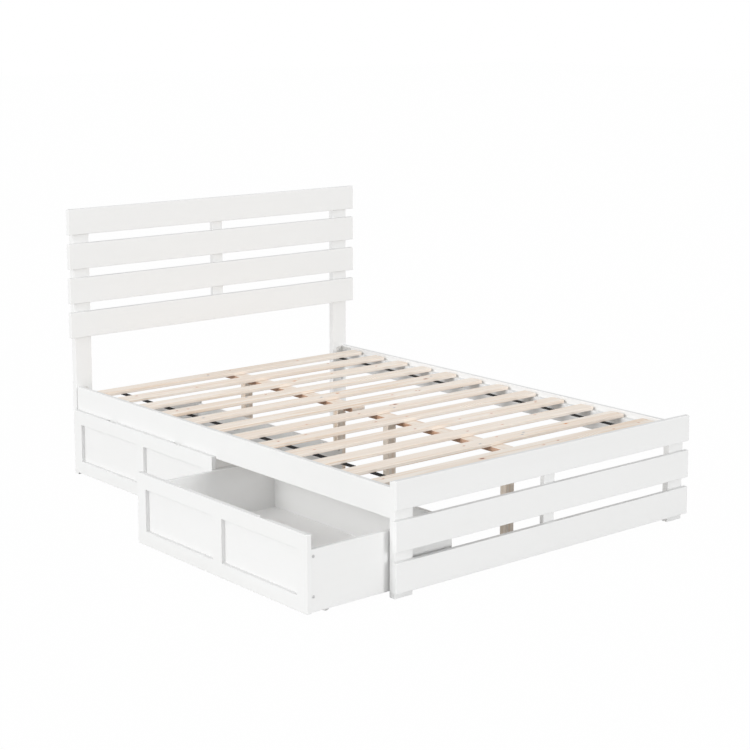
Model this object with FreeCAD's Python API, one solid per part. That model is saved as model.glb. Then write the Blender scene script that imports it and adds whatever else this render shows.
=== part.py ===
import FreeCAD, Part

import os

# Wooden bed frame for a 1400 x 2000 mm mattress, with two drawers on castors under one side.
# X runs across the bed, Y from the foot to the head, Z up from the floor. Millimetres.
# The drawers are on the -X side. The head drawer is shut and the foot drawer stands partly open.

# ---- driving dimensions ------------------------------------------------------------------------
MATTRESS_WIDTH = 1400.0
MATTRESS_LENGTH = 2000.0
SIDE_PLAY = 5.0              # between the mattress and each side rail
END_PLAY = 4.0               # between the mattress and the bed's two ends

BOARD_THICK = 20.0           # head boards, foot boards and side rails
BOARD_HEIGHT = 107.0
POST_THICK = 28.0
HEAD_POST_WIDTH = 78.0
FOOT_POST_WIDTH = 80.0
RAIL_INSET = 5.0             # a rail's outer face stands this far inside the posts' outer sides
STILE_WIDTH = 54.0
STILE_THICK = 20.0
STILE_END_GAP = 10.0         # the middle stiles stop this far inside the outermost board edges
POST_TOP_GAP = 10.0          # the posts stop this far below the top board's edge
EDGE_RADIUS = 2.5            # eased edges of the painted boards

HEAD_TOP = 1131.0
HEAD_PITCH = 144.5
HEAD_BOARDS = 4
HEAD_BOARD_LENGTH = 1516.0

FOOT_TOP = 412.0
FOOT_TOP_BOARD_HEIGHT = 101.0
FOOT_GAP = 37.0
FOOT_BOARDS = 3
FOOT_BOARD_LENGTH = 1484.0

RAIL_BOTTOM = 272.0
SLAT_TOP = 371.0
SLAT_THICK = 14.0
SLAT_WIDTH = 71.0
SLAT_LENGTH = 1394.0
SLAT_PITCH = 162.3
SLAT_COUNT = 12
SLATS_PER_ROLL = 6
FIRST_SLAT_Y = 897.0         # middle of the slat nearest the headboard
SLAT_CORNER_RADIUS = 9.0
SLAT_EDGE_RADIUS = 3.0

WEBBING_WIDTH = 26.0
WEBBING_THICK = 1.4
WEBBING_X = (-596.0, 572.0)

LEDGER_WIDTH = 28.0
LEDGER_HEIGHT = 28.0
LEDGER_RADIUS = 1.5
LEDGER_SCREWS = 7

BEAM_WIDTH = 66.0
BEAM_THICK = 18.0
BEAM_LENGTH = 902.0
HEAD_BEAM_START = 44.0       # Y of the head beam's inner end
FOOT_BEAM_START = -28.0
LEG_WIDTH = 40.0             # across the bed
LEG_DEPTH = 32.0             # along the bed
HEAD_LEG_Y = (815.0, 168.0)
FOOT_LEG_Y = (-149.0, -817.0)
PINE_RADIUS = 1.5

BRACKET_HEIGHT = 84.0
BRACKET_TOP_GAP = 5.0        # below the rail's top edge
BRACKET_THICK = 2.5
BRACKET_POST_FLANGE = 34.0
BRACKET_RAIL_FLANGE = 72.0
BRACKET_CORNER = 10.0
BRACKET_BEND_RADIUS = 2.0
BRACKET_HOLE_INSET = 15.0

SCREW_SHANK = 2.4            # radii and lengths of the wood screws
SCREW_HEAD = 4.5
SCREW_HEAD_HEIGHT = 2.4
SCREW_SLACK = 0.15           # radial room round a shank
RECESS_REACH = 0.62          # a cross recess's arms, as a share of the head's radius
RECESS_WIDTH = 1.1
RECESS_DEPTH = 0.6           # as a share of the head's height
BRACKET_SCREW_LENGTH = 15.0
BOARD_SCREW_LENGTH = 34.0
BOARD_SCREW_SINK = 3.0       # how deep the heads' seats lie in the uprights
LEDGER_SCREW_LENGTH = 36.0
SCREW_PAIR_SPACING = 60.0    # between the two screws where a board crosses a post

POST_BOLT_RADIUS = 4.0
POST_BOLT_HEAD = 6.5
POST_BOLT_HEAD_HEIGHT = 3.0
POST_BOLT_LENGTH = 22.0
POST_BOLT_Z = 219.0
POST_BOLT_INSET = 24.0       # from the post's outer side
LEG_BOLT_RADIUS = 4.0
LEG_BOLT_IN_BEAM = 12.0
LEG_BOLT_IN_LEG = 40.0

DRAWER_WIDTH = 1008.0
DRAWER_GAP = 2.5             # between the two shut drawer fronts
DRAWER_FOOT_GAP = 4.5        # between the foot drawer and the foot posts
FRONT_BOTTOM = 16.0
FRONT_TOP = 283.0
FRONT_THICK = 19.5
FRONT_CLEAR = 0.5            # between a shut front and the rail that it laps
FRAME_MEMBER = 53.5          # width of the front's stiles and bottom rail
FRAME_TOP_RAIL = 56.0
PANEL_THICK = 4.5
FRONT_RADIUS = 1.6           # eased outer edges of the front
PANEL_RIM_RADIUS = 0.8       # of the frame round the panels
NOTCH_LENGTH = 56.0          # of the finger scoops in the back of the front's top edge
NOTCH_START = 12.0           # its head-side end, past the middle of the panel
NOTCH_DEPTH = 16.0
NOTCH_RADIUS = 9.0
NOTCH_LIP = 6.0              # what is left standing in front of a scoop
BOX_DEPTH = 634.0            # from the front's face to the back ends of the box's sides
BOX_INSET = 1.0              # of the box's sides from the front's ends
BOX_BOTTOM = 19.0
BOX_TOP = 231.0
SIDE_THICK = 15.0
BACK_THICK = 16.0
BACK_INSET = 8.0             # of the back from the back ends of the sides
BACK_TOP = 223.0             # a little lower than the sides
INNER_FRONT_THICK = 15.0
FLOOR_TOP = 40.0
FLOOR_THICK = 5.0
BOX_RADIUS = 1.0
BOX_SCREW_Z = (72.0, 208.0)
BOX_SCREW_RADIUS = 3.4
BOX_SCREW_HEAD = 5.5
BOX_SCREW_HEAD_HEIGHT = 1.6
BOX_SCREW_LENGTH = 42.0
FOOT_DRAWER_OPEN = 330.0     # how far the foot drawer stands out

WHEEL_RADIUS = 15.0
WHEEL_WIDTH = 14.0
WHEEL_EDGE = 2.0
WHEEL_HUB_RADIUS = 6.0
WHEEL_HUB_STEP = 0.4
WHEEL_RECESS = 2.5
AXLE_RADIUS = 2.5
AXLE_LENGTH = 23.0
AXLE_SLACK = 0.05            # running clearance, radial
CASTOR_FRONT_X = 102.0       # behind the front's face
CASTOR_REAR_X = 80.0         # in from the back of the box
CASTOR_END_Y = 35.0          # in from the front's ends
HOUSING_LENGTH = 34.0
HOUSING_PLATE = 3.0
HOUSING_CHEEK = 3.0
HOUSING_INSIDE = 15.6
HOUSING_CHEEK_RADIUS = 8.0

# ---- places worked out from them ---------------------------------------------------------------
INNER_WIDTH = MATTRESS_WIDTH + 2 * SIDE_PLAY
INNER_LENGTH = MATTRESS_LENGTH + 2 * END_PLAY
RAIL_IN = INNER_WIDTH / 2
RAIL_OUT = RAIL_IN + BOARD_THICK
POST_OUT = RAIL_OUT + RAIL_INSET
RAIL_TOP = RAIL_BOTTOM + BOARD_HEIGHT

HEAD_FACE = INNER_LENGTH / 2                 # the head boards' front
HEAD_POST_FRONT = HEAD_FACE + BOARD_THICK
HEAD_POST_BACK = HEAD_POST_FRONT + POST_THICK
FOOT_POST_IN = -INNER_LENGTH / 2
FOOT_POST_OUT = FOOT_POST_IN - POST_THICK
FOOT_FACE = FOOT_POST_OUT - BOARD_THICK

HEAD_POST_IN = POST_OUT - HEAD_POST_WIDTH
FOOT_POST_SIDE_IN = POST_OUT - FOOT_POST_WIDTH
SLAT_BOTTOM = SLAT_TOP - SLAT_THICK
BEAM_BOTTOM = SLAT_BOTTOM - BEAM_THICK
BRACKET_TOP = RAIL_TOP - BRACKET_TOP_GAP
LEDGER_HEAD_END = HEAD_POST_FRONT - BRACKET_RAIL_FLANGE - 2.0
LEDGER_FOOT_END = FOOT_POST_IN + BRACKET_RAIL_FLANGE + 2.0

SHUT_FACE_X = -(RAIL_OUT + FRONT_CLEAR + FRONT_THICK)
FOOT_DRAWER_Y0 = FOOT_POST_IN + DRAWER_FOOT_GAP
HEAD_DRAWER_Y0 = FOOT_DRAWER_Y0 + DRAWER_WIDTH + DRAWER_GAP

# The row's origin is under the middle of the whole object's box, with the foot drawer out.
LOWEST_X = SHUT_FACE_X - FOOT_DRAWER_OPEN
HIGHEST_X = HEAD_BOARD_LENGTH / 2
SHIFT_X = -(LOWEST_X + HIGHEST_X) / 2
SHIFT_Y = -(FOOT_FACE + HEAD_POST_BACK) / 2

nodes = {}


def vector(x, y, z):
    return FreeCAD.Vector(x, y, z)


def block(x0, x1, y0, y1, z0, z1):
    """A square-edged block between two corners."""
    return Part.makeBox(x1 - x0, y1 - y0, z1 - z0, vector(x0, y0, z0))


def eased(x0, x1, y0, y1, z0, z1, radius=EDGE_RADIUS):
    """A board with every edge eased."""
    solid = block(x0, x1, y0, y1, z0, z1)
    return solid.makeFillet(radius, solid.Edges)


def rod(radius, length, start, direction):
    return Part.makeCylinder(radius, length, start, direction)


def screw(head_point, into, shank, length, head, head_height):
    """A pan-head screw: its head stands on head_point and its shank runs along into."""
    back = vector(-into.x, -into.y, -into.z)
    cap = rod(head, head_height, head_point, back)
    rim = [edge for edge in cap.Edges if edge.Closed]
    outermost = max(rim, key=lambda edge: edge.CenterOfMass.dot(back))
    cap = cap.makeFillet(head_height * 0.45, [outermost])
    cap = cap.cut(cross_recess(head_point, back, head, head_height))
    return cap.fuse(rod(shank, length, head_point, into)).removeSplitter()


def cross_recess(head_point, out, head, head_height):
    """Two crossed slots, cut into a head from its outer face."""
    reach = head * RECESS_REACH
    depth = head_height * RECESS_DEPTH
    arms = []
    for x, y in ((reach, RECESS_WIDTH / 2), (RECESS_WIDTH / 2, reach)):
        arms.append(block(-x, x, -y, y, head_height - depth, head_height + 1.0))
    recess = arms[0].fuse(arms[1])
    turn = FreeCAD.Rotation(vector(0, 0, 1), out)
    recess.Placement = FreeCAD.Placement(head_point, turn)
    return recess


def screw_hole(head_point, into, shank, length):
    return rod(shank + SCREW_SLACK, length + 1.0, head_point, into)


def sunk_screw_hole(head_point, into, shank, length):
    """A screw hole with a flat-bottomed counterbore that takes the head below the surface."""
    hole = screw_hole(head_point, into, shank, length)
    back = vector(-into.x, -into.y, -into.z)
    sink = rod(SCREW_HEAD + 2 * SCREW_SLACK, SCREW_HEAD_HEIGHT + 1.0, head_point, back)
    return hole.fuse(sink)


def group(solids):
    return Part.makeCompound(solids)


def drilled(solid, holes):
    """The solid with the holes cut, or as it is where there are none."""
    if not holes:
        return solid
    return solid.cut(group(holes)).removeSplitter()


def mirrored_sides():
    return (("left", -1.0), ("right", 1.0))


def span_x(side, inner, outer):
    """The lower and higher X of a piece between two distances from the middle, on one side."""
    return (min(side * inner, side * outer), max(side * inner, side * outer))


# ---- where the head and foot boards lie --------------------------------------------------------
def head_board_levels():
    levels = []
    for index in range(HEAD_BOARDS):
        top = HEAD_TOP - index * HEAD_PITCH
        levels.append((top - BOARD_HEIGHT, top))
    return levels


def foot_board_levels():
    levels = []
    top = FOOT_TOP
    height = FOOT_TOP_BOARD_HEIGHT
    for index in range(FOOT_BOARDS):
        levels.append((top - height, top))
        top = top - height - FOOT_GAP
        height = BOARD_HEIGHT
    return levels


def uprights(post_width):
    """X of the screw lines through the two posts and the middle stile."""
    return (-(POST_OUT - post_width / 2), 0.0, POST_OUT - post_width / 2)


def board_screw_points(levels, post_width, post_y, stile_y):
    """Seats of the sunk screw heads: two at each crossing of an upright with a board."""
    points = []
    for low, high in levels:
        middle = (low + high) / 2
        for x in uprights(post_width):
            y = (stile_y if x == 0.0 else post_y) - BOARD_SCREW_SINK
            for rise in (-SCREW_PAIR_SPACING / 2, SCREW_PAIR_SPACING / 2):
                points.append(vector(x, y, middle + rise))
    return points


BOARD_SCREWS_INTO = vector(0, -1, 0)


def board_screw_length(x):
    """Longer through a post than through the thinner stile."""
    if x == 0.0:
        return BOARD_SCREW_LENGTH - (POST_THICK - STILE_THICK)
    return BOARD_SCREW_LENGTH


def end_frame_screws():
    """Screws that hold the head and foot boards, driven from the side away from the boards."""
    head_points = board_screw_points(
        head_board_levels(), HEAD_POST_WIDTH, HEAD_POST_BACK, HEAD_POST_FRONT + STILE_THICK)
    foot_points = board_screw_points(
        foot_board_levels(), FOOT_POST_WIDTH, FOOT_POST_IN, FOOT_POST_OUT + STILE_THICK)
    return [(point, BOARD_SCREWS_INTO) for point in head_points + foot_points]


BOARD_SCREW_RUNS = end_frame_screws()


def board_holes():
    return [sunk_screw_hole(point, into, SCREW_SHANK, board_screw_length(point.x))
            for point, into in BOARD_SCREW_RUNS]


# ---- the four corner brackets ------------------------------------------------------------------
def bracket_corners():
    """Each corner: which side, where the post's face is, and which way along Y the rail runs."""
    corners = []
    for name, side in mirrored_sides():
        corners.append((side, HEAD_POST_FRONT, -1.0))
        corners.append((side, FOOT_POST_IN, 1.0))
    return corners


def bracket_hole_points(side, post_y, along):
    """Screw places: two in the post flange and four in the rail flange."""
    top = BRACKET_TOP - BRACKET_HOLE_INSET
    bottom = BRACKET_TOP - BRACKET_HEIGHT + BRACKET_HOLE_INSET
    post_x = side * (RAIL_IN - BRACKET_POST_FLANGE / 2 - BRACKET_THICK)
    rail_x = side * (RAIL_IN - BRACKET_THICK)
    points = []
    for z in (bottom, top):
        points.append((vector(post_x, post_y + along * BRACKET_THICK, z), vector(0, -along, 0)))
        for reach in (BRACKET_RAIL_FLANGE / 3, BRACKET_RAIL_FLANGE - BRACKET_HOLE_INSET):
            points.append((vector(rail_x, post_y + along * reach, z), vector(side, 0, 0)))
    return points


def round_free_corners(plate, at_x=None, at_y=None):
    """Round the two upright-end corners of a flange, on its free edge."""
    chosen = []
    for edge in plate.Edges:
        centre = edge.CenterOfMass
        short = edge.Length < BRACKET_THICK + 0.01
        if at_x is not None and short and abs(centre.x - at_x) < 0.01:
            chosen.append(edge)
        if at_y is not None and short and abs(centre.y - at_y) < 0.01:
            chosen.append(edge)
    return plate.makeFillet(BRACKET_CORNER, chosen)


def bracket(side, post_y, along):
    """A bent steel angle in the corner between a post and a rail."""
    z1 = BRACKET_TOP
    z0 = z1 - BRACKET_HEIGHT
    x_free = side * (RAIL_IN - BRACKET_POST_FLANGE)
    x_rail = side * RAIL_IN
    y_free = post_y + along * BRACKET_RAIL_FLANGE
    y_inner = post_y + along * BRACKET_THICK
    post_flange = block(min(x_free, x_rail), max(x_free, x_rail),
                        min(post_y, y_inner), max(post_y, y_inner), z0, z1)
    post_flange = round_free_corners(post_flange, at_x=x_free)
    x_inner = side * (RAIL_IN - BRACKET_THICK)
    rail_flange = block(min(x_inner, x_rail), max(x_inner, x_rail),
                        min(post_y, y_free), max(post_y, y_free), z0, z1)
    rail_flange = round_free_corners(rail_flange, at_y=y_free)
    angle = post_flange.fuse(rail_flange).removeSplitter()
    inside_edge = [edge for edge in angle.Edges
                   if abs(edge.CenterOfMass.x - x_inner) < 0.01
                   and abs(edge.CenterOfMass.y - y_inner) < 0.01
                   and edge.Length > BRACKET_HEIGHT - 1.0]
    angle = angle.makeFillet(BRACKET_BEND_RADIUS, inside_edge)
    holes = []
    for point, into in bracket_hole_points(side, post_y, along):
        start = point - into * 1.0
        holes.append(rod(SCREW_SHANK + SCREW_SLACK, BRACKET_THICK + 2.0, start, into))
    return drilled(angle, holes)


BRACKET_SCREW_RUNS = []
for corner in bracket_corners():
    BRACKET_SCREW_RUNS += bracket_hole_points(*corner)


def bracket_holes():
    return [screw_hole(point, into, SCREW_SHANK, BRACKET_SCREW_LENGTH)
            for point, into in BRACKET_SCREW_RUNS]


def post_bolt_points():
    return [vector(side * (POST_OUT - POST_BOLT_INSET), HEAD_POST_FRONT, POST_BOLT_Z)
            for name, side in mirrored_sides()]


def post_bolt_holes():
    return [screw_hole(point, vector(0, 1, 0), POST_BOLT_RADIUS, POST_BOLT_LENGTH)
            for point in post_bolt_points()]


# ---- head and foot -----------------------------------------------------------------------------
def build_headboard():
    holes = board_holes() + bracket_holes() + post_bolt_holes()
    levels = head_board_levels()
    post_top = HEAD_TOP - POST_TOP_GAP
    for name, side in mirrored_sides():
        x0, x1 = span_x(side, HEAD_POST_IN, POST_OUT)
        post = eased(x0, x1, HEAD_POST_FRONT, HEAD_POST_BACK, 0.0, post_top)
        nodes["head_post_" + name] = drilled(post, holes)
    stile = eased(-STILE_WIDTH / 2, STILE_WIDTH / 2,
                  HEAD_POST_FRONT, HEAD_POST_FRONT + STILE_THICK,
                  levels[-1][0] + STILE_END_GAP, post_top)
    nodes["head_middle_stile"] = drilled(stile, holes)
    half = HEAD_BOARD_LENGTH / 2
    for index, (low, high) in enumerate(levels):
        board = eased(-half, half, HEAD_FACE, HEAD_POST_FRONT, low, high)
        nodes["head_board_%d" % (index + 1)] = drilled(board, holes)


def build_footboard():
    holes = board_holes() + bracket_holes()
    levels = foot_board_levels()
    post_top = FOOT_TOP - POST_TOP_GAP
    for name, side in mirrored_sides():
        x0, x1 = span_x(side, FOOT_POST_SIDE_IN, POST_OUT)
        post = eased(x0, x1, FOOT_POST_OUT, FOOT_POST_IN, 0.0, post_top)
        nodes["foot_post_" + name] = drilled(post, holes)
    stile = eased(-STILE_WIDTH / 2, STILE_WIDTH / 2,
                  FOOT_POST_OUT, FOOT_POST_OUT + STILE_THICK,
                  levels[-1][0] + STILE_END_GAP, post_top)
    nodes["foot_middle_stile"] = drilled(stile, holes)
    half = FOOT_BOARD_LENGTH / 2
    for index, (low, high) in enumerate(levels):
        board = eased(-half, half, FOOT_FACE, FOOT_POST_OUT, low, high)
        nodes["foot_board_%d" % (index + 1)] = drilled(board, holes)


# ---- rails, ledgers, brackets and their fasteners ----------------------------------------------
def ledger_screw_runs():
    """Screws through the ledgers into the rails, evenly spaced."""
    runs = []
    length = LEDGER_HEAD_END - LEDGER_FOOT_END
    z = SLAT_BOTTOM - LEDGER_HEIGHT / 2
    for name, side in mirrored_sides():
        for index in range(LEDGER_SCREWS):
            y = LEDGER_FOOT_END + length * (index + 0.5) / LEDGER_SCREWS
            runs.append((vector(side * (RAIL_IN - LEDGER_WIDTH), y, z), vector(side, 0, 0)))
    return runs


def ledger_holes():
    return [screw_hole(point, into, SCREW_SHANK, LEDGER_SCREW_LENGTH)
            for point, into in ledger_screw_runs()]


def build_sides():
    holes = bracket_holes() + ledger_holes()
    for name, side in mirrored_sides():
        x0, x1 = span_x(side, RAIL_IN, RAIL_OUT)
        rail = eased(x0, x1, FOOT_POST_IN, HEAD_POST_FRONT, RAIL_BOTTOM, RAIL_TOP)
        nodes["side_rail_" + name] = drilled(rail, holes)
        x0, x1 = span_x(side, RAIL_IN - LEDGER_WIDTH, RAIL_IN)
        ledger = eased(x0, x1, LEDGER_FOOT_END, LEDGER_HEAD_END,
                       SLAT_BOTTOM - LEDGER_HEIGHT, SLAT_BOTTOM, LEDGER_RADIUS)
        nodes["slat_ledger_" + name] = drilled(ledger, holes)


def build_fasteners():
    nodes["corner_brackets"] = group([bracket(*corner) for corner in bracket_corners()])
    wood_screws = [
        screw(point, into, SCREW_SHANK, BRACKET_SCREW_LENGTH, SCREW_HEAD, SCREW_HEAD_HEIGHT)
        for point, into in BRACKET_SCREW_RUNS]
    wood_screws += [
        screw(point, into, SCREW_SHANK, board_screw_length(point.x), SCREW_HEAD, SCREW_HEAD_HEIGHT)
        for point, into in BOARD_SCREW_RUNS]
    wood_screws += [
        screw(point, into, SCREW_SHANK, LEDGER_SCREW_LENGTH, SCREW_HEAD, SCREW_HEAD_HEIGHT)
        for point, into in ledger_screw_runs()]
    nodes["frame_screws"] = group(wood_screws)
    bolts = [screw(point, vector(0, 1, 0), POST_BOLT_RADIUS, POST_BOLT_LENGTH,
                   POST_BOLT_HEAD, POST_BOLT_HEAD_HEIGHT) for point in post_bolt_points()]
    bolts += [rod(LEG_BOLT_RADIUS, LEG_BOLT_IN_LEG + LEG_BOLT_IN_BEAM,
                  vector(0, y, BEAM_BOTTOM - LEG_BOLT_IN_LEG), vector(0, 0, 1))
              for y in HEAD_LEG_Y + FOOT_LEG_Y]
    nodes["frame_bolts"] = group(bolts)


# ---- the slatted base --------------------------------------------------------------------------
def leg_bolt_holes():
    return [rod(LEG_BOLT_RADIUS + SCREW_SLACK, LEG_BOLT_IN_LEG + LEG_BOLT_IN_BEAM + 1.0,
                vector(0, y, BEAM_BOTTOM - LEG_BOLT_IN_LEG - 0.5), vector(0, 0, 1))
            for y in HEAD_LEG_Y + FOOT_LEG_Y]


def build_centre_support():
    holes = leg_bolt_holes()
    halves = (("head", HEAD_BEAM_START, HEAD_BEAM_START + BEAM_LENGTH, HEAD_LEG_Y),
              ("foot", FOOT_BEAM_START - BEAM_LENGTH, FOOT_BEAM_START, FOOT_LEG_Y))
    for name, y0, y1, leg_places in halves:
        beam = eased(-BEAM_WIDTH / 2, BEAM_WIDTH / 2, y0, y1, BEAM_BOTTOM, SLAT_BOTTOM, PINE_RADIUS)
        nodes["centre_beam_" + name] = drilled(beam, holes)
        legs = []
        for y in leg_places:
            leg = eased(-LEG_WIDTH / 2, LEG_WIDTH / 2, y - LEG_DEPTH / 2, y + LEG_DEPTH / 2,
                        0.0, BEAM_BOTTOM, PINE_RADIUS)
            legs.append(drilled(leg, holes))
        nodes["centre_legs_" + name] = group(legs)


def slat_centres():
    return [FIRST_SLAT_Y - index * SLAT_PITCH for index in range(SLAT_COUNT)]


def slat(y):
    """A pine slat with rounded corners and eased long edges."""
    solid = block(-SLAT_LENGTH / 2, SLAT_LENGTH / 2, y - SLAT_WIDTH / 2, y + SLAT_WIDTH / 2,
                  SLAT_BOTTOM, SLAT_TOP)
    uprights_of_slat = [edge for edge in solid.Edges if abs(edge.Length - SLAT_THICK) < 0.01]
    solid = solid.makeFillet(SLAT_CORNER_RADIUS, uprights_of_slat)
    rims = [edge for edge in solid.Edges
            if abs(edge.CenterOfMass.z - SLAT_TOP) < 0.01
            or abs(edge.CenterOfMass.z - SLAT_BOTTOM) < 0.01]
    return solid.makeFillet(SLAT_EDGE_RADIUS, rims)


def build_slats():
    centres = slat_centres()
    for index, y in enumerate(centres):
        nodes["slat_%02d" % (index + 1)] = slat(y)
    rolls = (("head", centres[:SLATS_PER_ROLL]), ("foot", centres[SLATS_PER_ROLL:]))
    for name, places in rolls:
        high = places[0] + SLAT_WIDTH / 2 - SLAT_EDGE_RADIUS
        low = places[-1] - SLAT_WIDTH / 2 + SLAT_EDGE_RADIUS
        nodes["webbing_" + name] = group([
            block(x - WEBBING_WIDTH / 2, x + WEBBING_WIDTH / 2, low, high,
                  SLAT_BOTTOM - WEBBING_THICK, SLAT_BOTTOM)
            for x in WEBBING_X])


# ---- the drawers -------------------------------------------------------------------------------
def front_frame(face, back_of_front, y0, y1):
    """The front's glued frame: one eased shape with two openings and two notches, cut into
    its two outer stiles, middle stile and two rails, so that the joints stay tight."""
    rail_low = FRONT_BOTTOM + FRAME_MEMBER
    rail_high = FRONT_TOP - FRAME_TOP_RAIL
    openings = front_openings(y0, y1)
    frame = block(face, back_of_front, y0, y1, FRONT_BOTTOM, FRONT_TOP)
    frame = frame.makeFillet(FRONT_RADIUS, frame.Edges)
    for low, high in openings:
        frame = frame.cut(block(face - 1.0, back_of_front + 1.0, low, high, rail_low, rail_high))
    rims = [edge for edge in frame.Edges
            if abs(edge.CenterOfMass.x - face) < 0.01
            and rail_low - 0.1 < edge.CenterOfMass.z < rail_high + 0.1
            and y0 + 2 * FRONT_RADIUS < edge.CenterOfMass.y < y1 - 2 * FRONT_RADIUS]
    frame = frame.makeFillet(PANEL_RIM_RADIUS, rims)
    for low, high in openings:
        frame = frame.cut(finger_notch(face, back_of_front, (low + high) / 2 + NOTCH_START))

    middle = (y0 + y1) / 2
    left = (y0, y0 + FRAME_MEMBER)
    right = (y1 - FRAME_MEMBER, y1)
    centre = (middle - FRAME_MEMBER / 2, middle + FRAME_MEMBER / 2)
    members = [left + (FRONT_BOTTOM, FRONT_TOP), right + (FRONT_BOTTOM, FRONT_TOP),
               centre + (rail_low, rail_high),
               (left[1], right[0], FRONT_BOTTOM, rail_low),
               (left[1], right[0], rail_high, FRONT_TOP)]
    return [frame.common(block(face, back_of_front, *member)) for member in members]


def finger_notch(x0, x1, end):
    """What is cut behind the top edge's lip for finger tips: a rounded scoop, footwards from end."""
    near = x0 + NOTCH_LIP
    far = x1 + 1.0
    cutter = block(near, far, end - NOTCH_LENGTH, end,
                   FRONT_TOP - NOTCH_DEPTH, FRONT_TOP + NOTCH_DEPTH)
    low_edges = [edge for edge in cutter.Edges
                 if abs(edge.CenterOfMass.z - (FRONT_TOP - NOTCH_DEPTH)) < 0.01
                 and abs(edge.CenterOfMass.x - (near + far) / 2) < 0.01]
    return cutter.makeFillet(NOTCH_RADIUS, low_edges)


def front_openings(y0, y1):
    """Y spans of the front's two panel openings."""
    middle = (y0 + y1) / 2
    return ((y0 + FRAME_MEMBER, middle - FRAME_MEMBER / 2),
            (middle + FRAME_MEMBER / 2, y1 - FRAME_MEMBER))


def box_screw_runs(face_x, y0, y1):
    """Screws through the box's sides into the ends of the inner front and the back."""
    runs = []
    inner_front_x = face_x + FRONT_THICK + INNER_FRONT_THICK / 2
    back_x = face_x + BOX_DEPTH - BACK_INSET - BACK_THICK / 2
    for x in (inner_front_x, back_x):
        for z in BOX_SCREW_Z:
            runs.append((vector(x, y0 + BOX_INSET, z), vector(0, 1, 0)))
            runs.append((vector(x, y1 - BOX_INSET, z), vector(0, -1, 0)))
    return runs


def castor_places(face_x, y0, y1):
    """The front and rear axle lines, and the Y of the two castors on each."""
    lines = {"front": face_x + CASTOR_FRONT_X, "rear": face_x + BOX_DEPTH - CASTOR_REAR_X}
    return lines, (y0 + CASTOR_END_Y, y1 - CASTOR_END_Y)


def wheel(x, y):
    """A moulded wheel with its stub axles in one piece, turning about Y."""
    along = vector(0, 1, 0)
    tread = rod(WHEEL_RADIUS, WHEEL_WIDTH, vector(x, y - WHEEL_WIDTH / 2, WHEEL_RADIUS), along)
    rims = [edge for edge in tread.Edges if edge.Closed]
    tread = tread.makeFillet(WHEEL_EDGE, rims)
    for start in (y - WHEEL_WIDTH / 2, y + WHEEL_WIDTH / 2 - WHEEL_RECESS):
        outer = rod(WHEEL_RADIUS - 2 * WHEEL_EDGE, WHEEL_RECESS, vector(x, start, WHEEL_RADIUS), along)
        inner = rod(WHEEL_HUB_RADIUS, WHEEL_RECESS, vector(x, start, WHEEL_RADIUS), along)
        tread = tread.cut(outer.cut(inner))
    hub_width = WHEEL_WIDTH + 2 * WHEEL_HUB_STEP
    hub = rod(WHEEL_HUB_RADIUS, hub_width, vector(x, y - hub_width / 2, WHEEL_RADIUS), along)
    axle = rod(AXLE_RADIUS, AXLE_LENGTH, vector(x, y - AXLE_LENGTH / 2, WHEEL_RADIUS), along)
    return tread.fuse([hub, axle]).removeSplitter()


def castor_housing(x, y):
    """A plate under the box's floor with two cheeks that hold the wheel's stub axles."""
    plate_top = FLOOR_TOP - FLOOR_THICK
    half = HOUSING_LENGTH / 2
    reach = HOUSING_INSIDE / 2 + HOUSING_CHEEK
    housing = block(x - half, x + half, y - reach, y + reach, plate_top - HOUSING_PLATE, plate_top)
    for start in (y - reach, y + reach - HOUSING_CHEEK):
        cheek = rod(HOUSING_CHEEK_RADIUS, HOUSING_CHEEK, vector(x, start, WHEEL_RADIUS),
                    vector(0, 1, 0))
        web = block(x - HOUSING_CHEEK_RADIUS, x + HOUSING_CHEEK_RADIUS,
                    start, start + HOUSING_CHEEK, WHEEL_RADIUS, plate_top)
        housing = housing.fuse([cheek, web])
    hole = rod(AXLE_RADIUS + AXLE_SLACK, 2 * reach + 2.0, vector(x, y - reach - 1.0, WHEEL_RADIUS),
               vector(0, 1, 0))
    return housing.removeSplitter().cut(hole)


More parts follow.
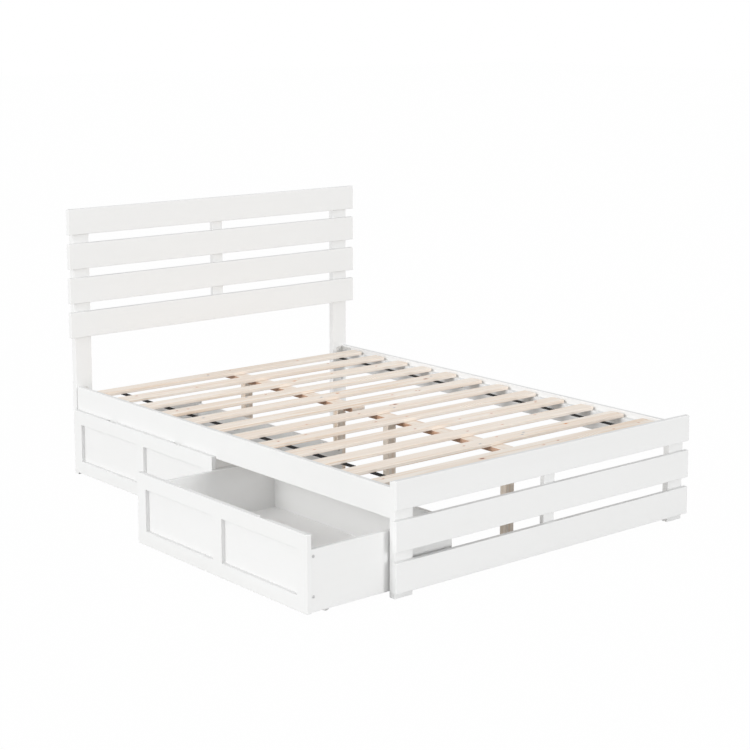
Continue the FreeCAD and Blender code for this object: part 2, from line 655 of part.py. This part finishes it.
def build_drawer(name, y0, pulled_out):
    """One drawer between y0 and y0 + DRAWER_WIDTH, pulled out by the given distance."""
    prefix = "drawer_" + name + "_"
    y1 = y0 + DRAWER_WIDTH
    face = SHUT_FACE_X - pulled_out
    back_of_front = face + FRONT_THICK
    box_end = face + BOX_DEPTH
    inner_low = y0 + BOX_INSET + SIDE_THICK
    inner_high = y1 - BOX_INSET - SIDE_THICK
    openings = front_openings(y0, y1)
    rail_low = FRONT_BOTTOM + FRAME_MEMBER
    rail_high = FRONT_TOP - FRAME_TOP_RAIL

    nodes[prefix + "front_frame"] = group(front_frame(face, back_of_front, y0, y1))
    nodes[prefix + "front_panels"] = group([
        block(back_of_front - PANEL_THICK, back_of_front, low, high, rail_low, rail_high)
        for low, high in openings])

    holes = [screw_hole(point, into, BOX_SCREW_RADIUS, BOX_SCREW_LENGTH)
             for point, into in box_screw_runs(face, y0, y1)]
    sides = (("side_foot", y0 + BOX_INSET), ("side_head", inner_high))
    for part_name, low in sides:
        side = eased(back_of_front, box_end, low, low + SIDE_THICK, BOX_BOTTOM, BOX_TOP, BOX_RADIUS)
        nodes[prefix + part_name] = drilled(side, holes)
    inner_front = eased(back_of_front, back_of_front + INNER_FRONT_THICK, inner_low, inner_high,
                        BOX_BOTTOM, BOX_TOP, BOX_RADIUS)
    nodes[prefix + "inner_front"] = drilled(inner_front, holes)
    back_front = box_end - BACK_INSET - BACK_THICK
    back = eased(back_front, back_front + BACK_THICK, inner_low, inner_high,
                 BOX_BOTTOM, BACK_TOP, BOX_RADIUS)
    nodes[prefix + "back"] = drilled(back, holes)
    nodes[prefix + "floor"] = block(back_of_front + INNER_FRONT_THICK, back_front,
                                    inner_low, inner_high, FLOOR_TOP - FLOOR_THICK, FLOOR_TOP)
    nodes[prefix + "screws"] = group([
        screw(point, into, BOX_SCREW_RADIUS, BOX_SCREW_LENGTH, BOX_SCREW_HEAD, BOX_SCREW_HEAD_HEIGHT)
        for point, into in box_screw_runs(face, y0, y1)])

    lines, castor_ys = castor_places(face, y0, y1)
    nodes[prefix + "castor_housings"] = group([
        castor_housing(x, y) for x in lines.values() for y in castor_ys])
    for line_name, x in lines.items():
        nodes[prefix + "wheels_" + line_name] = group([wheel(x, y) for y in castor_ys])


build_headboard()
build_footboard()
build_sides()
build_fasteners()
build_centre_support()
build_slats()
build_drawer("head", HEAD_DRAWER_Y0, 0.0)
build_drawer("foot", FOOT_DRAWER_Y0, FOOT_DRAWER_OPEN)

os.makedirs("parts", exist_ok=True)
for node_name, shape in nodes.items():
    shape.translate(vector(SHIFT_X, SHIFT_Y, 0.0))
    shape.exportStep("parts/" + node_name + ".step")
print(len(nodes), "nodes; shift", SHIFT_X, SHIFT_Y)
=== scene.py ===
import math
import random

import bpy
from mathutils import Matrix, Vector


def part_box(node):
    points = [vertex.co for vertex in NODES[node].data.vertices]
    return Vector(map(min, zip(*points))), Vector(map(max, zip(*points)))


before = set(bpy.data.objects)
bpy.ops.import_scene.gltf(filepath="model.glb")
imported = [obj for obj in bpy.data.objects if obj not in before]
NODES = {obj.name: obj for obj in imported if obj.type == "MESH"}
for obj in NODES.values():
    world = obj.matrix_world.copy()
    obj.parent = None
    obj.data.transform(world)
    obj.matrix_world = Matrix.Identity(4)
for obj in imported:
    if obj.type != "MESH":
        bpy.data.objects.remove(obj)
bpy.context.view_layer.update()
X, Y, Z = 0, 1, 2


# ---- a short way to write node graphs ----------------------------------------------------------
class Graph:
    """The nodes of one material."""

    def __init__(self, name):
        self.material = bpy.data.materials.new(name)
        self.material.use_nodes = True
        self.tree = self.material.node_tree
        self.tree.nodes.clear()
        self.output = self.tree.nodes.new("ShaderNodeOutputMaterial")

    def node(self, kind, values=None, **settings):
        made = self.tree.nodes.new(kind)
        for key, value in settings.items():
            setattr(made, key, value)
        for key, value in (values or {}).items():
            self.put(made.inputs[key], value)
        return made

    def put(self, socket, value):
        if isinstance(value, bpy.types.NodeSocket):
            self.tree.links.new(value, socket)
        elif isinstance(value, (tuple, list)) and socket.type == "RGBA" and len(value) == 3:
            socket.default_value = (*value, 1.0)
        else:
            socket.default_value = value

    def math(self, operation, *values, clamp=False):
        made = self.node("ShaderNodeMath", operation=operation, use_clamp=clamp)
        for index, value in enumerate(values):
            self.put(made.inputs[index], value)
        return made.outputs[0]

    def vector(self, operation, *values):
        made = self.node("ShaderNodeVectorMath", operation=operation)
        for index, value in enumerate(values):
            self.put(made.inputs[index], value)
        return made.outputs["Value" if operation in ("LENGTH", "DISTANCE") else "Vector"]

    def split(self, value):
        return self.node("ShaderNodeSeparateXYZ", {"Vector": value}).outputs

    def join(self, x, y, z):
        return self.node("ShaderNodeCombineXYZ", {"X": x, "Y": y, "Z": z}).outputs[0]

    def noise(self, place, scale=1.0, detail=2.0, roughness=0.5, distortion=0.0):
        made = self.node("ShaderNodeTexNoise", {
            "Vector": place, "Scale": scale, "Detail": detail,
            "Roughness": roughness, "Distortion": distortion})
        return made.outputs["Fac"]

    def step(self, value, low, high, to_low=0.0, to_high=1.0):
        """A smooth step from to_low to to_high as value goes from low to high."""
        made = self.node("ShaderNodeMapRange", {
            "Value": value, "From Min": low, "From Max": high,
            "To Min": to_low, "To Max": to_high}, interpolation_type="SMOOTHSTEP")
        return made.outputs["Result"]

    def blend(self, share, a, b, mode="MIX"):
        made = self.node("ShaderNodeMix", data_type="RGBA", blend_type=mode)
        self.put(made.inputs[0], share)
        self.put(made.inputs[6], a)
        self.put(made.inputs[7], b)
        return made.outputs[2]

    def bump(self, height, strength, distance, normal=None):
        made = self.node("ShaderNodeBump", {
            "Height": height, "Strength": strength, "Distance": distance})
        if normal is not None:
            self.put(made.inputs["Normal"], normal)
        return made.outputs[0]

    def place(self):
        """Where a point is in the row frame, in metres."""
        return self.node("ShaderNodeTexCoord").outputs["Object"]

    def along(self, place, axis, seed=0.0):
        """The same place with the grain's direction first, moved to a part of the wood of its own."""
        parts = self.split(place)
        order = {X: (0, 1, 2), Y: (1, 0, 2), Z: (2, 0, 1)}[axis]
        moved = self.join(*[parts[index] for index in order])
        return self.vector("ADD", moved, (seed * 1.37, seed * 0.61, seed * 0.23))

    def finish(self, **shader):
        surface = self.node("ShaderNodeBsdfPrincipled")
        for key, value in shader.items():
            self.put(surface.inputs[key.replace("_", " ")], value)
        self.tree.links.new(surface.outputs[0], self.output.inputs["Surface"])
        return self.material


def edge_nearness(g, place, box, reach):
    """1 on a board's edges, 0 further than reach from them, from the board's own box."""
    low, high = box
    middle, half = (low + high) / 2, (high - low) / 2
    inside = g.vector("SUBTRACT", tuple(half), g.vector(
        "ABSOLUTE", g.vector("SUBTRACT", place, tuple(middle))))
    a, b, c = g.split(inside)
    lesser, greater = g.math("MINIMUM", a, b), g.math("MAXIMUM", a, b)
    second = g.math("MAXIMUM", lesser, g.math("MINIMUM", greater, c))
    return g.step(second, 0.0, reach, 1.0, 0.0)


# ---- materials ---------------------------------------------------------------------------------
WHITE = (0.866, 0.868, 0.863)
WHITE_DEEP = (0.848, 0.849, 0.840)
WHITE_EDGE = (0.845, 0.85, 0.848)
WHITE_WORN = (0.77, 0.745, 0.70)
TOP_PAINTED_SHADE = 0.885            # painted shade: upward faces of the white boards are darkened by this share
DRAWER_FLOOR_PAINTED_LIGHT = 1.08           # painted light: upward faces of the drawers' floors are lightened by this share
PAINT_EDGE = 0.0018          # how far the paint's thin edge reaches
# how fine each pattern is, along the grain and across it both ways, or the same every way
PAINT_GRAIN = (2.2, 150.0, 150.0)
PAINT_CLOUDS = (1.3, 9.0, 9.0)
PAINT_STIPPLE = 620.0
PAINT_CHIPS = 85.0
PAINT_WEAR = 0.14            # how strongly the chips on an edge show


def white_paint(name, axis, box, seed, upward_painted_light=1.0):
    """Satin white paint over sanded pine: the grain shows through faintly, with roller stipple."""
    g = Graph(name)
    place = g.place()
    wood = g.along(place, axis, seed)
    grain = g.noise(g.vector("MULTIPLY", wood, PAINT_GRAIN), detail=4.0, roughness=0.62)
    broad = g.noise(g.vector("MULTIPLY", wood, PAINT_CLOUDS), detail=2.0)
    stipple = g.noise(place, scale=PAINT_STIPPLE, detail=2.0)
    edge = edge_nearness(g, place, box, PAINT_EDGE)
    chips = g.step(g.noise(place, scale=PAINT_CHIPS, detail=4.0), 0.66, 0.72)

    tone = g.blend(g.step(broad, 0.35, 0.75, 0.0, 0.5), WHITE, WHITE_DEEP)
    tone = g.blend(g.step(grain, 0.52, 0.75, 0.0, 0.30), tone, WHITE_DEEP)
    tone = g.blend(g.math("MULTIPLY", edge, 0.45), tone, WHITE_EDGE)
    tone = g.blend(g.math("MULTIPLY", g.math("MULTIPLY", edge, chips), PAINT_WEAR), tone, WHITE_WORN)
    # faces that look upward get their colour multiplied by a share: painted shade darkens the boards'
    # tops, painted light brightens the drawers' floors
    facing = g.split(g.node("ShaderNodeNewGeometry").outputs["Normal"])
    painted_top_mask = g.step(facing[2], 0.75, 0.95)
    tone = g.blend(painted_top_mask, tone, g.blend(1.0, tone, (upward_painted_light, upward_painted_light, upward_painted_light * 1.005), mode="MULTIPLY"))
    gloss = g.step(g.math("ADD", grain, g.math("MULTIPLY", stipple, 0.5)), 0.4, 1.1, 0.40, 0.54)
    normal = g.bump(grain, 0.12, 0.0005)
    normal = g.bump(stipple, 0.08, 0.0003, normal)
    return g.finish(Base_Color=tone, Roughness=gloss, Normal=normal, IOR=1.46)


RING_WIDTH = 0.0046
RING_DRIFT = 0.034           # how far the rings wander
PINE_WANDER = (1.1, 6.0, 6.0)
PINE_FIBRE = (14.0, 900.0, 900.0)
PINE_STREAKS = (1.4, 85.0, 85.0)
PINE_BLUSH = (0.9, 16.0, 16.0)
PIN_KNOTS = (6.5, 16.0, 16.0)
MARK_STRETCH = (0.6, 1.0, 0.0)   # marks are longer along the grain, and reach through the slat
MARK_RAGGED = 240.0
PINE_PALE = (0.905, 0.845, 0.775)
PINE_LATE = (0.765, 0.575, 0.415)
PINE_ROSE = (0.83, 0.705, 0.60)
PINE_END = (0.72, 0.55, 0.40)
RESIN = (0.97, 0.94, 0.88)
HALO = 1.8                   # a knot's stained rim, in knot sizes
DASH_PITCH = 0.015           # from one resin dash to the next
DASH_ROW_LENGTH = 0.11
DASH_ROW_SIDE = -0.020       # the row's place across, from the slat's middle
PINE_EDGE = 0.003            # how far the darker planed edge reaches
# each kind of mark: its size, its rim's colour, its core's colour, how strong the rim is
MARK_KINDS = {
    "knot": (0.0078, (0.60, 0.24, 0.10), (0.22, 0.04, 0.015), 0.85),
    "pin": (0.0042, (0.68, 0.36, 0.22), (0.44, 0.12, 0.06), 0.70),
    "rose": (0.0050, (0.78, 0.50, 0.38), (0.66, 0.36, 0.25), 0.65),
    "orange": (0.0068, (0.75, 0.38, 0.13), (0.62, 0.19, 0.02), 0.75),
    "blue": (0.0050, (0.56, 0.56, 0.56), (0.28, 0.33, 0.38), 0.70),
}


def knot(g, tone, wood, middle, mark):
    """Stains tone with one mark of a slat: how far along, how far across, and its kind."""
    along, across, kind = mark
    size, rim, core, strength = MARK_KINDS[kind]
    wander = g.math("MULTIPLY", g.math("SUBTRACT", g.noise(wood, scale=MARK_RAGGED), 0.5), size)
    off = g.vector("SUBTRACT", wood, (along, middle + across, 0.0))
    gap = g.math("ADD", wander, g.vector("LENGTH", g.vector("MULTIPLY", off, MARK_STRETCH)))
    tone = g.blend(g.step(gap, size * 0.4, size * HALO, strength * 0.6, 0.0), tone, rim)
    return g.blend(g.step(gap, size * 0.35, size, 0.9, 0.0), tone, core)


def resin_dashes(g, tone, wood, start, side, length):
    """A row of short pale dashes, where resin canals come to the planed face."""
    along, across, _ = g.split(wood)
    run = g.math("SUBTRACT", along, start)
    within = g.math("MULTIPLY", g.step(run, 0.0, 0.006), g.step(run, length, length + 0.006, 1.0, 0.0))
    beat = g.math("PINGPONG", run, DASH_PITCH / 2)
    dash = g.step(beat, 0.003, 0.005)
    near = g.step(g.math("ABSOLUTE", g.math("SUBTRACT", across, side)), 0.008, 0.012, 1.0, 0.0)
    row = g.math("MULTIPLY", within, near)
    tone = g.blend(g.math("MULTIPLY", row, 0.6), tone, PINE_LATE)
    return g.blend(g.math("MULTIPLY", row, dash), tone, RESIN)


def pine(name, axis, seed, heart=(0.05, -0.09), marks=(), dashes=None, box=None, side_painted_shade=None):
    """Planed pine. heart is where the tree's middle lay, across the board and below it, so the
    rings run as lines along the faces and as arcs on the ends."""
    g = Graph(name)
    place = g.place()
    wood = g.along(place, axis, 0.0)
    own = g.along(place, axis, seed)
    slow = g.noise(g.vector("MULTIPLY", own, PINE_WANDER), detail=2.0)
    drift = g.math("MULTIPLY", g.math("SUBTRACT", slow, 0.5), RING_DRIFT)
    _, across, up = g.split(wood)
    far = g.math("SQRT", g.math("ADD", g.math("POWER", g.math("SUBTRACT", across, heart[0]), 2.0),
                                g.math("POWER", g.math("SUBTRACT", up, heart[1]), 2.0)))
    wave = g.math("SINE", g.math("MULTIPLY", g.math("ADD", far, drift), 2 * math.pi / RING_WIDTH))
    late = g.step(wave, 0.0, 1.0)
    fibre = g.noise(g.vector("MULTIPLY", own, PINE_FIBRE), detail=3.0, roughness=0.6)
    streak = g.noise(g.vector("MULTIPLY", own, PINE_STREAKS), detail=3.0, roughness=0.6)
    rosy = g.noise(g.vector("MULTIPLY", own, PINE_BLUSH), detail=1.0)

    tone = g.blend(g.math("MULTIPLY", late, 0.30), PINE_PALE, PINE_LATE)
    tone = g.blend(g.step(streak, 0.50, 0.66, 0.0, 0.62), tone, PINE_LATE)
    tone = g.blend(g.step(rosy, 0.40, 0.68, 0.0, 0.45), tone, PINE_ROSE)
    tone = g.blend(g.step(fibre, 0.50, 0.80, 0.0, 0.22), tone, PINE_END)

    cells = g.node("ShaderNodeTexVoronoi", {
        "Vector": g.vector("MULTIPLY", own, PIN_KNOTS), "Scale": 1.0, "Randomness": 1.0})
    chosen = g.step(g.split(cells.outputs["Color"])[0], 0.66, 0.68)
    pin = g.math("MULTIPLY", g.step(cells.outputs["Distance"], 0.02, 0.055, 1.0, 0.0), chosen)
    tone = g.blend(g.math("MULTIPLY", pin, 0.6), tone, MARK_KINDS["pin"][1])
    middle = (box[0].y + box[1].y) / 2
    for mark in marks:
        tone = knot(g, tone, wood, middle, mark)
    if dashes is not None:
        tone = resin_dashes(g, tone, wood, dashes, middle + DASH_ROW_SIDE, DASH_ROW_LENGTH)
    edge = edge_nearness(g, place, box, PINE_EDGE)
    tone = g.blend(g.math("MULTIPLY", edge, 0.22), tone, PINE_LATE)
    # painted shade: faces turned along X are darkened by multiplying with the given colour
    if side_painted_shade is not None:
        facing = g.split(g.node("ShaderNodeNewGeometry").outputs["True Normal"])
        painted_side_mask = g.step(g.math("ABSOLUTE", facing[0]), 0.4, 0.7)
        tone = g.blend(painted_side_mask, tone, g.blend(1.0, tone, side_painted_shade, mode="MULTIPLY"))
    rough = g.step(fibre, 0.3, 0.8, 0.52, 0.68)
    height = g.math("ADD", g.math("MULTIPLY", late, 0.5), fibre)
    return g.finish(Base_Color=tone, Roughness=rough, Normal=g.bump(height, 0.22, 0.0004), IOR=1.45)


WEAVE = 0.0016               # the webbing's weave
TAPE_FUZZ = 900.0
TAPE_DARK = (0.006, 0.006, 0.007)
TAPE_LIGHT = (0.022, 0.022, 0.024)
ZINC_SPANGLE = 260.0
ZINC_CLOUDS = 55.0
ZINC_SCRATCHES = (900.0, 60.0, 900.0)
PLASTIC_GRIT = 1500.0
PLASTIC_HAZE = 30.0


def webbing(name):
    """Black woven tape, its weft and warp crossing in a fine weave."""
    g = Graph(name)
    place = g.place()
    x, y, _ = g.split(place)
    weft = g.math("SINE", g.math("MULTIPLY", y, 2 * math.pi / WEAVE))
    warp = g.math("SINE", g.math("MULTIPLY", x, 2 * math.pi / WEAVE))
    weave = g.math("MULTIPLY", weft, warp)
    fuzz = g.noise(place, scale=TAPE_FUZZ, detail=3.0)
    height = g.math("ADD", weave, fuzz)
    tone = g.blend(g.step(height, -0.6, 1.4), TAPE_DARK, TAPE_LIGHT)
    return g.finish(Base_Color=tone, Roughness=0.82, Normal=g.bump(height, 0.5, 0.0003),
                    Specular_IOR_Level=0.12, Sheen_Weight=0.02)


def zinc(name, tone_low, tone_high, rough):
    """Zinc-plated steel with a faint spangle and fine scratches."""
    g = Graph(name)
    place = g.place()
    spangle = g.node("ShaderNodeTexVoronoi", {"Vector": place, "Scale": ZINC_SPANGLE})
    cloud = g.noise(place, scale=ZINC_CLOUDS, detail=4.0)
    scratch = g.noise(g.vector("MULTIPLY", place, ZINC_SCRATCHES), detail=2.0)
    mixed = g.math("ADD", g.math("MULTIPLY", g.split(spangle.outputs["Color"])[0], 0.35), cloud)
    tone = g.blend(g.step(mixed, 0.35, 1.05), tone_low, tone_high)
    gloss = g.step(scratch, 0.3, 0.7, rough - 0.07, rough + 0.10)
    return g.finish(Base_Color=tone, Metallic=0.7, Roughness=gloss,
                    Normal=g.bump(scratch, 0.12, 0.0002))


def plastic(name, tone_low, tone_high, rough):
    """Moulded plastic with a fine spark-eroded texture and mould haze."""
    g = Graph(name)
    place = g.place()
    grit = g.noise(place, scale=PLASTIC_GRIT, detail=2.0)
    haze = g.noise(place, scale=PLASTIC_HAZE, detail=3.0)
    tone = g.blend(g.step(haze, 0.3, 0.7), tone_low, tone_high)
    gloss = g.step(grit, 0.3, 0.7, rough - 0.05, rough + 0.07)
    return g.finish(Base_Color=tone, Roughness=gloss, Normal=g.bump(grit, 0.2, 0.0002))


def dress(node_name, material):
    """Gives a CAD node its finished material."""
    mesh = NODES[node_name].data
    mesh.materials.clear()
    mesh.materials.append(material)


BOARD_GRAIN = {"head_post": Z, "foot_post": Z, "head_middle": Z, "foot_middle": Z,
               "head_board": X, "foot_board": X, "side_rail": Y, "slat_ledger": Y}
DRAWER_GRAIN = {"front_frame": Y, "front_panels": Y, "inner_front": Y, "side": X,
                "back": Y, "floor": X}
MARKS_PER_SLAT = (3, 6)      # fewest and most
MARK_SHARES = {"pin": 5, "rose": 5, "blue": 2, "orange": 1, "knot": 1}
MARK_END = 0.04              # marks keep this far from a slat's ends
MARK_EDGE = 0.010            # and this far from its long edges
DASHED_EVERY = 4             # each fourth slat has a row of resin dashes
DASHES_START = 0.7           # where the row starts, as a share of the slat's length


def slat_marks(number, box):
    """One slat's marks, the same each run: place along X, place across from its middle, kind."""
    draw = random.Random(number)
    count = draw.randint(*MARKS_PER_SLAT)
    kinds = draw.choices(list(MARK_SHARES), weights=list(MARK_SHARES.values()), k=count)
    reach = (box[1].y - box[0].y) / 2 - MARK_EDGE
    return [(draw.uniform(box[0].x + MARK_END, box[1].x - MARK_END),
             draw.uniform(-reach, reach), kind) for kind in kinds]


def slat_dashes(number, box):
    """Where a slat's row of dashes starts along X, or None for a slat that has none."""
    if number % DASHED_EVERY:
        return None
    return box[0].x + DASHES_START * (box[1].x - box[0].x)


# painted shade on the faces of the beams and legs that turn along X
BEAM_SIDE_PAINTED_SHADE = (0.66, 0.46, 0.36)
LEG_SIDE_PAINTED_SHADE = (0.97, 0.95, 0.92)
SLAT_LEVEL = 0.37            # the slats' height above the floor
BEAM_HEART = (0.13, 0.30)    # where the tree's middle lay, across and up
# how far apart the boards' own parts of the grain lie
PAINT_SEED, SLAT_SEED = 0.77, 3.1
BEAM_SEED, LEG_SEED = 50.0, 70.0

steel_soft = zinc("zinc_plate", (0.66, 0.655, 0.64), (0.82, 0.81, 0.79), 0.50)
steel_screw = zinc("zinc_screw", (0.60, 0.60, 0.60), (0.80, 0.80, 0.80), 0.40)
tape = webbing("webbing_tape")
housing_plastic = plastic("castor_housing_plastic", (0.82, 0.82, 0.81), (0.87, 0.87, 0.86), 0.42)
wheel_plastic = plastic("castor_wheel_plastic", (0.84, 0.84, 0.83), (0.88, 0.88, 0.87), 0.38)


def painted_grain(node_name):
    """The axis of a painted board's grain, or None for a node that isn't painted."""
    piece, grains = node_name, BOARD_GRAIN
    if node_name.startswith("drawer_"):
        piece, grains = node_name.split("_", 2)[2], DRAWER_GRAIN
    return next((axis for start, axis in grains.items() if piece.startswith(start)), None)


def slat_pine(node_name, box):
    """One slat's own pine: its rings, its marks and, on some slats, a row of resin dashes."""
    number = int(node_name[-2:])
    middle = (box[0].y + box[1].y) / 2
    heart = (middle + (0.07 if number % 3 else -0.02), -0.06 - 0.013 * (number % 5) + SLAT_LEVEL)
    return pine("pine_" + node_name, X, SLAT_SEED * number, heart, box=box,
                marks=slat_marks(number, box), dashes=slat_dashes(number, box))


def material_for(node_name, index):
    """The finished material of one CAD node."""
    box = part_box(node_name)
    grain = painted_grain(node_name)
    if grain is not None:
        # painted light on the drawers' floors, painted shade on the other boards' tops
        upward_painted_light = DRAWER_FLOOR_PAINTED_LIGHT if node_name.endswith("floor") else TOP_PAINTED_SHADE
        return white_paint("paint_" + node_name, grain, box, index * PAINT_SEED, upward_painted_light)
    if node_name.startswith("slat_"):
        return slat_pine(node_name, box)
    if node_name.startswith("centre_beam"):
        return pine("pine_" + node_name, Y, BEAM_SEED + index, BEAM_HEART, box=box,
                    side_painted_shade=BEAM_SIDE_PAINTED_SHADE)
    if node_name.startswith("centre_legs"):
        return pine("pine_" + node_name, Z, LEG_SEED + index, (0.10, box[0].y - 0.03), box=box,
                    side_painted_shade=LEG_SIDE_PAINTED_SHADE)
    if node_name.startswith("webbing"):
        return tape
    if node_name == "corner_brackets":
        return steel_soft
    if "castor_housings" in node_name:
        return housing_plastic
    if "wheels" in node_name:
        return wheel_plastic
    return steel_screw


for node_index, cad_node in enumerate(sorted(NODES)):
    dress(cad_node, material_for(cad_node, node_index))


# ---- floor, light and camera -------------------------------------------------------------------
FLOOR_GLOW = 0.99            # how far the floor's shadows are lifted to plain white
SKY = 0.71                   # the surround's light on the bed
FLOOR_REACH = 40.0
SENSOR_WIDTH = 36.0
SIGHT = 200.0                # how far the camera sees
# each light: where it shines from, its height, its spread in degrees, its strength
LIGHTS = {"key_left": (-4.0, 23.0, 28.0, 1.45), "fill_foot": (98.0, 12.0, 14.0, 1.06)}


def build_floor():
    mesh = bpy.data.meshes.new("studio_floor")
    corners = [(x * FLOOR_REACH, y * FLOOR_REACH, 0) for x, y in ((-1, -1), (1, -1), (1, 1), (-1, 1))]
    mesh.from_pydata(corners, [], [(0, 1, 2, 3)])
    floor = bpy.data.objects.new("studio_floor", mesh)
    bpy.context.scene.collection.objects.link(floor)
    g = Graph("studio_floor_white")
    grain = g.noise(g.place(), scale=3.0, detail=2.0)
    tone = g.blend(g.step(grain, 0.3, 0.7), (0.61, 0.61, 0.61), (0.63, 0.63, 0.63))
    matte = g.node("ShaderNodeBsdfDiffuse", {"Color": tone})
    glow = g.node("ShaderNodeEmission", {"Color": (1.0, 1.0, 1.0), "Strength": 1.0})
    seen = g.node("ShaderNodeLightPath").outputs["Is Camera Ray"]
    mixed = g.node("ShaderNodeMixShader", {"Fac": g.math("MULTIPLY", seen, FLOOR_GLOW)})
    g.tree.links.new(matte.outputs[0], mixed.inputs[1])
    g.tree.links.new(glow.outputs[0], mixed.inputs[2])
    g.tree.links.new(mixed.outputs[0], g.output.inputs["Surface"])
    mesh.materials.append(g.material)


def build_world():
    """An even white surround, seen as plain white."""
    world = bpy.data.worlds.new("studio")
    bpy.context.scene.world = world
    world.use_nodes = True
    tree = world.node_tree
    background = tree.nodes["Background"]
    background.inputs["Color"].default_value = (1.0, 1.0, 1.0, 1.0)
    strength = tree.nodes.new("ShaderNodeMapRange")
    strength.inputs["To Min"].default_value = SKY
    strength.inputs["To Max"].default_value = 1.0
    seen = tree.nodes.new("ShaderNodeLightPath").outputs["Is Camera Ray"]
    tree.links.new(seen, strength.inputs["Value"])
    tree.links.new(strength.outputs[0], background.inputs["Strength"])


def soft_sun(name, heading, height, spread, strength):
    """A far light with soft edges. heading: where it shines from, in degrees from -X to -Y."""
    data = bpy.data.lights.new(name, "SUN")
    data.energy = strength
    data.angle = math.radians(spread)
    lamp = bpy.data.objects.new(name, data)
    bpy.context.scene.collection.objects.link(lamp)
    turn, rise = math.radians(heading), math.radians(height)
    towards = Vector((math.cos(turn) * math.cos(rise), math.sin(turn) * math.cos(rise), -math.sin(rise)))
    lamp.rotation_euler = towards.to_track_quat("-Z", "Y").to_euler()


CAMERA_PLACE = (-4.2115, -5.2648, 1.9594)
CAMERA_HEADING = 39.859      # degrees from +Y towards +X
CAMERA_DOWN = 9.101          # degrees below level
CAMERA_LENS = 83.57
CAMERA_SHIFT_X = 0.0062
CAMERA_SHIFT_Y = -0.12


def build_camera():
    data = bpy.data.cameras.new("camera")
    data.lens = CAMERA_LENS
    data.sensor_width = SENSOR_WIDTH
    data.shift_x = CAMERA_SHIFT_X
    data.shift_y = CAMERA_SHIFT_Y
    data.clip_end = SIGHT
    camera = bpy.data.objects.new("camera", data)
    bpy.context.scene.collection.objects.link(camera)
    camera.location = CAMERA_PLACE
    camera.rotation_euler = (math.radians(90 - CAMERA_DOWN), 0.0, math.radians(-CAMERA_HEADING))
    bpy.context.scene.camera = camera


build_floor()
build_world()
for light_name, settings in LIGHTS.items():
    soft_sun(light_name, *settings)
build_camera()
bpy.context.scene.view_settings.view_transform = "Standard"
bpy.context.scene.view_settings.look = "None"
